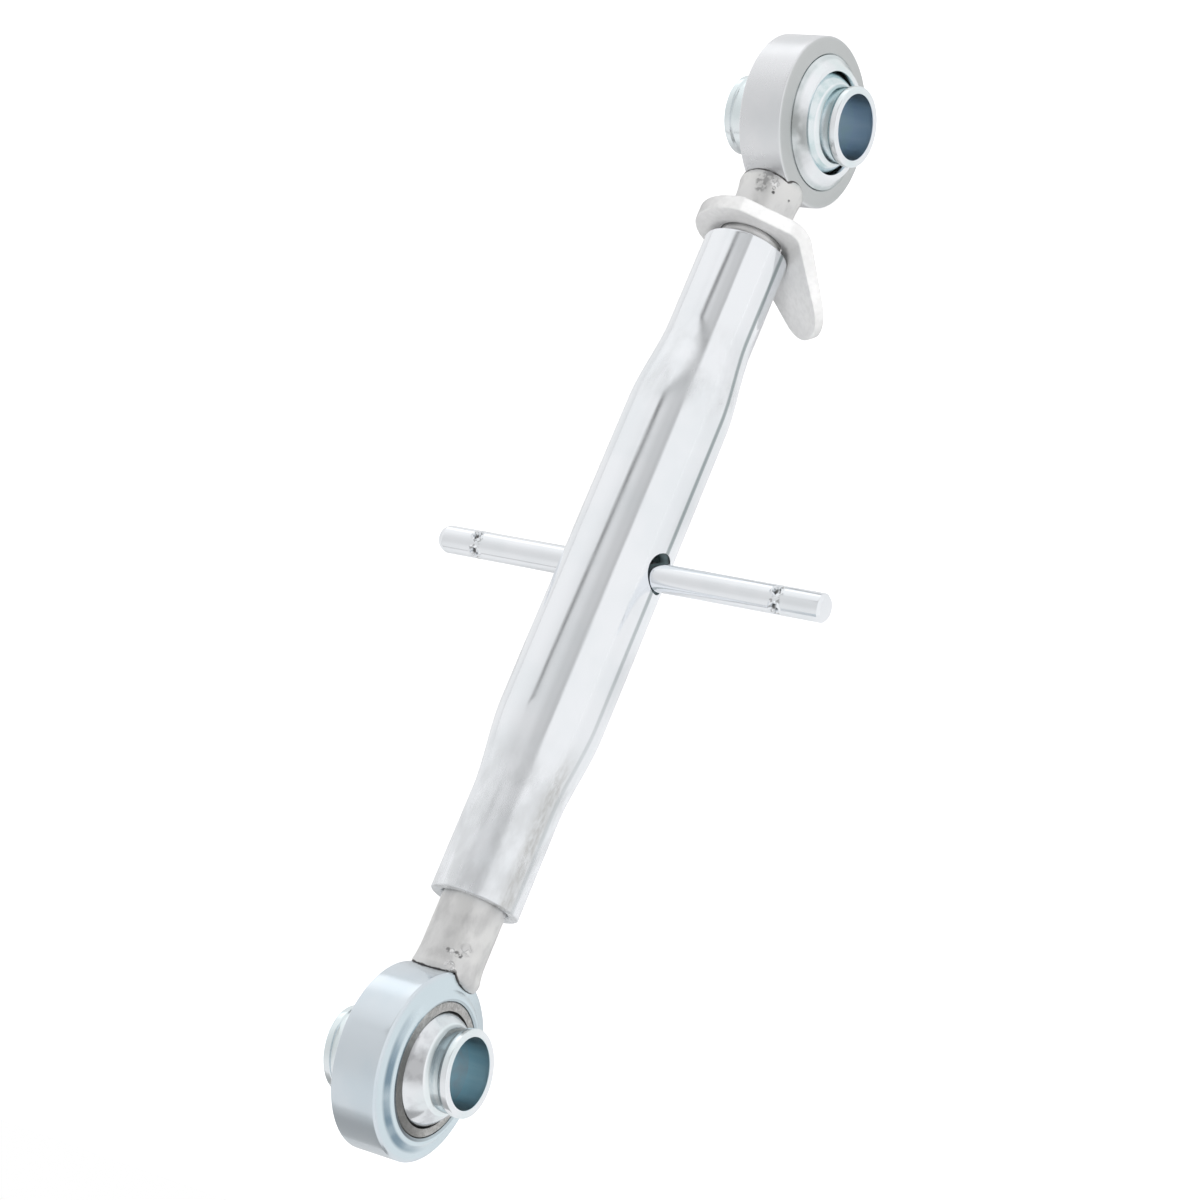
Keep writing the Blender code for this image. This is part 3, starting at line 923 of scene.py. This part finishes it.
# How deep each kind of skin is, in metres.
smooth_relief = 0.000008
fine_relief = 0.00002
forged_relief = 0.00003
gritty_relief = 0.00004


def plated(name, centre, bright, cloud, rough, lines=even, ridge=0.5):
    """Zinc over worked steel. Lines is the stretch of the tool marks, small along their run."""
    finish = Finish(name, centre, bright, rough)
    clouds = noise(finish.place, 45).within(0.38, 0.68)
    marks = noise(finish.place, 900, 2.0, lines)
    skin = noise(finish.place, 2600, 2.0) * min(1.0, ridge * 2)
    finish.tint(clouds, cloud).roughen(clouds * 0.04 + marks * 0.06 - 0.05)
    return finish.raise_by(marks * ridge + skin * 0.2)


print("deepest skin", gritty_relief / mm, "mm, shallowest", smooth_relief / mm, "mm")

# %% [markdown]
# ## The tube's plating
#
# The tube was drawn, so its marks run along it. Squeezing its ends worked the steel and left the plating
# there duller and mottled. A thin dark line along its front is painted reflection of the shaded paper
# under the tube. A painted map could hold all this, but masks worked out from the place along the tube and
# round it stay sharp at any distance.

# %% Tube finish


def tube_finish():
    finish = plated("tube_zinc", tube_middle, bright_zinc, cloudy_zinc, 0.13, (0.05, 1.0, 1.0))
    along = along_axis(finish.place, along_link)
    level = along_axis(finish.place, upwards)
    front = along_axis(finish.place, forwards).within(0.0, 5 * mm)
    # The swaged lower end was worked harder, and its plating is duller and mottled.
    worked = (along * -1).within(tube_body_half + 6 * mm, tube_end_half - 4 * mm)
    blotches = noise(finish.place, 130, 4.0, (0.5, 1.0, 1.0)).within(0.35, 0.7)
    finish.tint(worked * blotches, (0.74, 0.76, 0.78)).roughen(worked * 0.16)
    finish.raise_by(worked * blotches * 2.0)
    # A grey band with grain along the front of the lower end, a little above the middle.
    stripe = 1 - abs(level - 5.5 * mm).within(1 * mm, 5 * mm)
    grain = noise(finish.place, 700, 4.0, (0.4, 1.0, 1.0)).within(0.3, 0.7)
    finish.tint(worked * stripe * front * (0.35 + grain * 0.6), (0.58, 0.585, 0.58))
    # So was the upper swage, by less.
    squeezed = along.within(tube_body_half - 8 * mm, tube_body_half + 8 * mm)
    squeezed = squeezed * (1 - along.within(tube_end_half - 14 * mm, tube_end_half + 4 * mm))
    finish.tint(squeezed * blotches * 0.8, (0.76, 0.78, 0.80)).roughen(squeezed * (0.06 + blotches * 0.12))
    # A thin dark line painted along the front, darker towards the upper end: painted reflection of the shaded
    # paper under the tube.
    dark_line = 1 - abs(level - 1.6 * mm).within(0.5 * mm, 1.6 * mm)
    reach = along.within(-90 * mm, 30 * mm)
    finish.tint(dark_line * front * (0.3 + reach * 0.6), (0.32, 0.37, 0.38))
    # The cross hole's wall has only a thin, dull, greenish plating.
    depth = from_axis(finish.place, along_link)
    inside = 1 - depth.within(tube_radius - 1.6 * mm, tube_radius - 0.5 * mm)
    wall = inside * spot(finish.place, (0, 0, 0), 24 * mm, 0.1)
    finish.tint(wall, (0.62, 0.76, 0.78)).roughen(wall * 0.45)
    return finish.made(fine_relief)


dress(tube_skin, tube_finish())

# %% [markdown]
# ## The bar's plating
#
# The bar is drawn rod, bright and smooth. Its punched dents get painted shadow, which is found here by
# depth: whatever lies well under the rod's surface on one side of each mark is dark.

# %% Bar finish


def bar_finish():
    finish = plated("bar_zinc", middle("tommy_bar"), bright_zinc, cloudy_zinc, 0.13, (1.0, 0.05, 1.0))
    along = along_axis(finish.place, along_bar)
    # Painted shadow darkens one side of each punched dent, and grime sits in the torn metal round it.
    reach = from_axis(finish.place, along_bar)
    dent_shadow = 1 - reach.within(bar_radius - 1.0 * mm, bar_radius - 0.15 * mm)
    near = (along + burr_place).within(-0.4 * mm, 0.6 * mm) * (1 - along.within(-61 * mm, -60 * mm))
    far = (along - burr_place).within(-0.4 * mm, 0.6 * mm) * (1 - along.within(71 * mm, 72 * mm))
    finish.tint(dent_shadow * (near + far), (0.12, 0.12, 0.12))
    beside = 1 - abs(abs(along) - burr_place).within(1.8 * mm, 2.8 * mm)
    specks = noise(finish.place, 700, 3.0).within(0.56, 0.60)
    return finish.tint(beside * specks * 0.7, (0.32, 0.32, 0.32)).made(fine_relief)


dress(bar_skin, bar_finish())

# %% [markdown]
# ## The nut's plating
#
# The nut was stamped and barrel plated, so it has a frosty skin that scatters light more than it mirrors
# it. Rough metal alone stays too dark for that. So its metalness is low, and the paler colour does the
# rest.

# %% Nut finish
nut_metal = 0.2
nut_zinc = plated("nut_zinc", middle("lock_nut"), (0.85, 0.85, 0.85), (0.78, 0.78, 0.78), 0.42)
frost = noise(nut_zinc.place, 420, 4.0).within(0.35, 0.7)
nut_zinc.tint(frost * 0.45, (0.70, 0.70, 0.70))
dress(nut_skin, nut_zinc.made(forged_relief, nut_metal))

# %% [markdown]
# ## The balls' plating
#
# Each ball is polished and plated. The plating is thin and blue in the pin's bore, where the reamer has
# left streaks. On the front, the neck and the sphere carry painted reflections: teal on the neck's upper
# side, a darker band by the rim, and greys on the sphere. Most of it follows two measures: how far a point
# lies from the bore's axis and how far out along it.

# %% Ball finish


def ball_finish(end):
    axis = mounts[f"{end}_ball_front_face"]["axis"]
    finish = plated(f"{end}_ball_zinc", centre_of[end], bright_zinc, (0.80, 0.88, 0.90), 0.15)
    radius = from_axis(finish.place, axis)
    # The bore's plating is thin and blue, with streaks along it from the reamer.
    bore = 1 - radius.within(bore_radius + 0.05 * mm, bore_radius + 0.25 * mm)
    stretch = tuple(1 - 0.9 * abs(value) for value in axis)
    streaks = noise(finish.place, 420, 3.0, stretch).within(0.35, 0.75)
    deep = {"lower": (0.58, 0.74, 0.80), "upper": (0.58, 0.68, 0.77)}
    pale = {"lower": (0.66, 0.80, 0.85), "upper": (0.64, 0.73, 0.81)}
    finish.tint(bore, deep[end]).tint(bore * streaks, pale[end]).roughen(bore * 0.16)
    # Only the front's neck and sphere are tinted, with painted reflections: blue below, and teal above.
    outward = along_axis(finish.place, axis)
    neck_reflection = outward.within(17.0 * mm, 17.8 * mm) * (1 - outward.within(22.9 * mm, 23.6 * mm))
    neck_reflection = neck_reflection * (1 - bore)
    # A darker band of painted reflection on the neck, next to the rim.
    rim_reflection_band = outward.within(20.4 * mm, 22.4 * mm) * neck_reflection
    top = along_axis(finish.place, picture_up).within(-3 * mm, 11 * mm)
    sphere = outward.within(4.0 * mm, 10.0 * mm) * (1 - outward.within(16.6 * mm, 17.0 * mm))
    neck_reflection_tones = {"lower": (0.50, 0.56, 0.58), "upper": (0.50, 0.64, 0.67)}
    finish.tint(neck_reflection, (0.82, 0.88, 0.90)).tint(neck_reflection * top, neck_reflection_tones[end])
    finish.tint(rim_reflection_band * (0.55 + top * 0.45), neck_reflection_tones[end])
    # Greys of painted reflection on the front of the sphere, broken up by smears.
    smears = noise(finish.place, 160, 4.0).within(0.42, 0.72)
    sphere_reflection_tones = {"lower": (0.66, 0.68, 0.71), "upper": (0.60, 0.74, 0.76)}
    finish.tint(sphere * (0.35 + smears * 0.65), sphere_reflection_tones[end]).roughen(smears * sphere * 0.12)
    if end == "lower":
        # One dark patch of painted reflection on the sphere's left, where the photograph has it.
        dark_reflection_patch = spot(finish.place, (-4.5 * mm, -15.0 * mm, 17.5 * mm), 9.0 * mm, 0.8)
        finish.tint(dark_reflection_patch * (0.65 + smears * 0.35) * sphere, (0.34, 0.34, 0.35))
    return finish.made(fine_relief)


for end in centre_of:
    dress(balls[end], ball_finish(end))

# %% [markdown]
# ## The screws' forged skin
#
# The shanks are forged and welded, and the plating doesn't hide it: they are matte, blotched and scarred,
# with a dark seam where the weld meets the eye. The scars are single marks that the photograph shows,
# and the two palest, where each shank faces the camera, are painted highlights. So each mark has its own
# place, counted in millimetres from the ball's centre, with its size and its grey.

# %% Screw finish
scars_and_glints = {
    "lower": [
        ((42.0, -9.5, 8.0), 3.0, 0.66),
        ((39.7, -2.9, 12.2), 1.4, 0.95),
        ((39.6, -4.2, 11.9), 1.3, 0.30),
        ((39.6, -5.8, 11.2), 1.4, 0.95),
        ((39.4, -7.4, 10.2), 1.4, 0.25),
        ((39.2, -8.6, 9.2), 1.1, 0.20),
        # A painted highlight.
        ((34.2, -6.8, 10.6), 2.4, 0.98),
        ((33.0, -8.6, 9.2), 1.2, 0.25),
    ],
    "upper": [
        ((-36.0, -1.8, 12.5), 3.2, 0.42),
        ((-38.6, -2.2, 12.4), 3.0, 0.40),
        ((-33.5, -3.4, 12.2), 2.8, 0.44),
        # A painted highlight.
        ((-35.6, -6.7, 10.7), 2.4, 0.98),
        ((-31.5, -6.0, 11.1), 1.3, 0.14),
        ((-37.7, -7.0, 10.5), 0.9, 0.14),
        ((-39.4, -7.3, 10.2), 0.9, 0.14),
        ((-38.9, -11.8, 4.0), 0.8, 0.14),
    ],
}


def screw_finish(end):
    pale, dull = (0.80, 0.80, 0.79), (0.73, 0.73, 0.73)
    finish = plated(f"{end}_screw_zinc", centre_of[end], pale, dull, 0.42, even, 1.0)
    blotches = noise(finish.place, 150, 5.0, (0.6, 1.0, 1.0)).within(0.42, 0.72)
    finish.tint(blotches, (0.60, 0.60, 0.60)).raise_by(blotches * 3.0)
    axis, radius = eye_axis[end], eye_radius[end]
    off_middle = along_axis(finish.place, axis) + eye_shift[end]
    reach = from_axis(finish.place, axis)
    # The weld's seam: dark where the screw comes within half a millimetre of the eye's surface.
    (along, crown), (edge, rim) = (corner[:2] for corner in eye_faces[end][-3:-1])
    slope = (along - edge) / (rim - crown)
    above_face = abs(off_middle) - edge - (rim - reach) * slope
    above_eye = finish.signal.maths("MAXIMUM", above_face, reach - radius)
    ragged = noise(finish.place, 500, 3.0).within(0.3, 0.7)
    dark_line = 1 - above_eye.within(0.2 * mm + ragged * 0.0003, 0.45 * mm + ragged * 0.0004)
    finish.tint(dark_line, (0.16, 0.15, 0.15)).roughen(dark_line * 0.2)
    torn = noise(finish.place, 520, 4.0).within(0.42, 0.56)
    for place, size, colour in scars_and_glints[end]:
        scar_or_glint = spot(finish.place, [value * mm for value in place], size * mm, 0.45)
        # A pale scar stands up from the skin, and a dark one is a pit. The two palest marks are painted
        # highlights.
        finish.tint(scar_or_glint * torn, (colour, colour, colour)).raise_by(scar_or_glint * torn * (colour * 30 - 12))
    return finish.made(forged_relief)


for end in centre_of:
    dress(screws[end], screw_finish(end))

# %% [markdown]
# ## The eyes and the races
#
# The upper pair of races is plated, and the lower pair is bare grey steel with a gritty skin. The lower
# eye is bright and bluish, and painted reflections darken it round the pressed lip. The upper one is
# duller. These tints change with the distance from the eye's axis, and the painted shade on the races and
# the painted reflections on the lower eye grow towards the left of the picture.

# %% Eye and race finishes


def race_finish(end, side):
    if end == "upper":
        finish = plated(f"upper_race_{side}_zinc", upper_centre, bright_zinc, (0.80, 0.88, 0.89), 0.17)
        # The rolled collar is teal towards its foot, and painted shade darkens it most on the left.
        reach = from_axis(finish.place, eye_axis[end])
        foot = reach.within(24.0 * mm, 25.4 * mm)
        # Painted shade, towards the left of the picture.
        left = along_axis(finish.place, picture_left).within(17 * mm, 25 * mm)
        bands = noise(finish.place, 110, 2.0).within(0.35, 0.65)
        finish.tint(foot * (0.4 + bands * 0.6), (0.60, 0.66, 0.67))
        finish.tint(left * (0.35 + bands * 0.65), (0.36, 0.38, 0.38))
        return finish.made(fine_relief)
    finish = Finish(f"lower_race_{side}_steel", lower_centre, (0.40, 0.395, 0.385), 0.55)
    grit = noise(finish.place, 420, 4.0).within(0.35, 0.75)
    finish.tint(grit, (0.55, 0.545, 0.535)).roughen(grit * -0.1)
    fine = noise(finish.place, 1500, 3.0).within(0.45, 0.6)
    finish.tint(fine * 0.5, (0.72, 0.72, 0.71))
    # Painted shade darkens the race towards the left of the picture.
    left = along_axis(finish.place, picture_left).within(4 * mm, 21 * mm)
    finish.tint(left * 0.85, (0.17, 0.17, 0.165))
    return finish.raise_by(noise(finish.place, 900, 3.0) * 3.0).made(gritty_relief)


def eye_finish(end):
    if end == "upper":
        pale, dull = (0.79, 0.80, 0.82), (0.74, 0.76, 0.78)
        finish = plated("upper_eye_zinc", upper_centre, pale, dull, 0.30, even, 0.05)
        forward = along_axis(finish.place, -eye_axis[end]) - eye_shift[end]
        face = forward.within(8.9 * mm, 9.4 * mm)
        finish.tint(face, (0.60, 0.62, 0.62)).roughen(face * 0.16)
        return finish.made(smooth_relief)
    finish = plated("lower_eye_zinc", lower_centre, (0.71, 0.77, 0.82), (0.66, 0.74, 0.80), 0.19)
    # Round the pressed lip, painted reflections run through darker blues, most of all on the left.
    reach = from_axis(finish.place, eye_axis[end])
    face = along_axis(finish.place, -eye_axis[end]).within(9.2 * mm, 9.7 * mm)
    left = along_axis(finish.place, picture_left).within(4 * mm, 26 * mm)
    blue_reflection_band = reach.within(26.9 * mm, 27.8 * mm) * (1 - reach.within(29.2 * mm, 30.8 * mm))
    # A near-black line of painted reflection next to the race, widest and darkest on the left.
    inner = 1 - (reach - left * 0.5 * mm).within(25.2 * mm, 25.7 * mm)
    patches = noise(finish.place, 70, 2.0).within(0.3, 0.6)
    finish.tint(face, (0.68, 0.78, 0.83))
    finish.tint(blue_reflection_band * face * left * (0.4 + patches * 0.6), (0.22, 0.31, 0.38))
    return finish.tint(inner * face * (0.3 + left * 0.7), (0.12, 0.14, 0.16)).made(fine_relief)


for end in centre_of:
    dress(eyes[end], eye_finish(end))
for (end, side), piece in races.items():
    dress(piece, race_finish(end, side))

# %% [markdown]
# ## The camera
#
# The camera stands where the photograph's stood. Its place, its direction and its focal length were
# fitted together, to what can be told apart in the photograph, such as the rims of the two bores.

# %% Camera
camera_place = np.array((-157.776, -540.448, 891.001)) * mm + lower_centre
camera_right = (0.36525, -0.85145, -0.37634)
camera_up = (0.87697, 0.17911, 0.44592)
camera_back = (-0.31227, -0.49291, 0.81211)
focal_length = 88.68
sensor_width = 36.0

lens = bpy.data.cameras.new("camera")
lens.lens = focal_length
lens.sensor_width = sensor_width
lens.clip_start = 0.01
camera = bpy.data.objects.new("camera", lens)
turn = Matrix((camera_right, camera_up, camera_back)).transposed().to_4x4()
camera.matrix_world = Matrix.Translation(camera_place.tolist()) @ turn
bpy.context.scene.collection.objects.link(camera)
bpy.context.scene.camera = camera
print("camera at", [round(value, 3) for value in camera_place])

# %% [markdown]
# ## The room
#
# Bare metal shows mostly what surrounds it, so the room is part of the finish. Two large soft panels
# light the link from the front and from behind, with a dim ceiling between them and a narrow dark gap
# at the rear panel's edge. That gap is the thin dark line that runs the length of the tube. A picture of
# a studio could surround the link, but levels worked out from the direction are easy to move about.

# %% World
front_level = 0.95
rear_level = 0.92
ceiling_level = 0.53
gap_share = 0.75
paper_end_share = 0.32
diffuse_share = 0.55
panel_direction = (0.785, 0.4275, -0.4475)
glow_direction = (0.84, 0.53, 0.10)


def studio_world():
    """Levels by direction. Angles are in degrees about the link: 0 is the front and 90 straight up."""
    world = bpy.data.worlds.new("studio")
    bpy.context.scene.world = world
    world.use_nodes = True
    tree = world.node_tree
    tree.nodes.clear()
    signal = Signal(tree)
    direction = signal.node("ShaderNodeTexCoord", output="Generated")
    parts = [signal.node("ShaderNodeSeparateXYZ", inputs={0: direction}, output=i) for i in range(3)]
    angle = signal.maths("ARCTAN2", parts[2], parts[1] * -1) * (180 / math.pi)
    side = along_axis(direction, panel_direction)
    # Towards the rear the panel's edge is soft, and the dark gap at its edge has ended.
    soft = parts[1].within(0.40, 0.52)
    rear = side.within(-0.01 - soft * 0.35, 0.03 + soft * 0.42)
    gap = (1 - abs(side).within(0.018, 0.055)) * (1 - soft)
    front = (1 - angle.within(56.5, 59.0)) * angle.within(-60.0, -50.0)
    left = (parts[0] * -1).within(0.45, 0.8) * 0.10
    ceiling = ceiling_level + angle.within(58, 72) * 0.09 + angle.within(76, 96) * 0.13 + left
    back_wall = rear_level + parts[0].within(0.2, 0.8) * 0.08
    glow = along_axis(direction, glow_direction).within(0.93, 1.0) * 0.30
    level = ceiling * (1 - rear) + back_wall * rear
    level = level * (1 - gap * gap_share) + glow
    level = level * (1 - front) + front * front_level
    # Below the level of the paper, past its end, the room is dim.
    level = level * (1 - parts[2].within(0.02, -0.30) * (1 - front) * paper_end_share)
    camera_ray = signal.node("ShaderNodeLightPath", output="Is Camera Ray")
    diffuse_ray = signal.node("ShaderNodeLightPath", output="Is Diffuse Ray")
    level = level * (1 - diffuse_ray * diffuse_share)
    strength = camera_ray + level * (1 - camera_ray)
    out = signal.node("ShaderNodeBackground", inputs={"Color": rgb(1, 1, 1), "Strength": strength})
    end = tree.nodes.new("ShaderNodeOutputWorld")
    tree.links.new(out.socket, end.inputs["Surface"])
    print("world nodes:", len(tree.nodes))


studio_world()

# %% [markdown]
# ## Paper and lamps
#
# The link lies on white paper, which is blank white in the photograph, so the paper glows a little
# where the camera sees it, and less in reflections. One lamp lights the link softly from the front and
# the other fills the side that it leaves dark. Neither shows in reflections: those come from the room.

# %% Floor and lamps
paper_size = 6.0
paper_past_eye = 62.0 * mm
camera_glow = 0.86
mirror_glow = 0.29
paper_grey = 0.55


def floor():
    """White paper, which ends a little past the lower eye, so that this end mirrors the dim room."""
    mesh = bpy.data.meshes.new("floor")
    low, high = lower_centre[0] - paper_past_eye, paper_size
    corners = [(low, -high, 0), (high, -high, 0), (high, high, 0), (low, high, 0)]
    mesh.from_pydata(corners, [], [(0, 1, 2, 3)])
    obj = bpy.data.objects.new("floor", mesh)
    bpy.context.scene.collection.objects.link(obj)
    material, signal, shader = new_material("floor_paper")
    shader.inputs["Base Color"].default_value = rgb(paper_grey, paper_grey, paper_grey)
    shader.inputs["Roughness"].default_value = 0.9
    shader.inputs["Specular IOR Level"].default_value = 0.0
    camera_ray = signal.node("ShaderNodeLightPath", output="Is Camera Ray")
    glossy_ray = signal.node("ShaderNodeLightPath", output="Is Glossy Ray")
    shader.inputs["Emission Color"].default_value = rgb(1, 1, 1)
    glow = camera_ray * camera_glow + glossy_ray * mirror_glow
    signal.tree.links.new(glow.socket, shader.inputs["Emission Strength"])
    dress(obj, material)


def lamp(name, place, target, size, power):
    light = bpy.data.lights.new(name, "AREA")
    light.shape = "RECTANGLE"
    light.size, light.size_y = size
    light.energy = power
    obj = bpy.data.objects.new(name, light)
    away = np.array(place) - np.array(target)
    away = away / np.linalg.norm(away)
    side, up = perpendiculars(away)
    obj.matrix_world = Matrix.Translation(place) @ Matrix((side, up, away)).transposed().to_4x4()
    obj.visible_glossy = False
    bpy.context.scene.collection.objects.link(obj)
    print(f"{name} lamp: {power:.0f} W")


floor()
link_height = 0.03
lamp("key", (3.0, -3.0, 3.4), (0, 0, link_height), (2.2, 2.2), 195.0)
lamp("fill", (-3.0, -0.9, 2.2), (0, 0, link_height), (1.5, 1.5), 85.0)
bpy.context.scene.view_settings.view_transform = "Standard"

# %% [markdown]
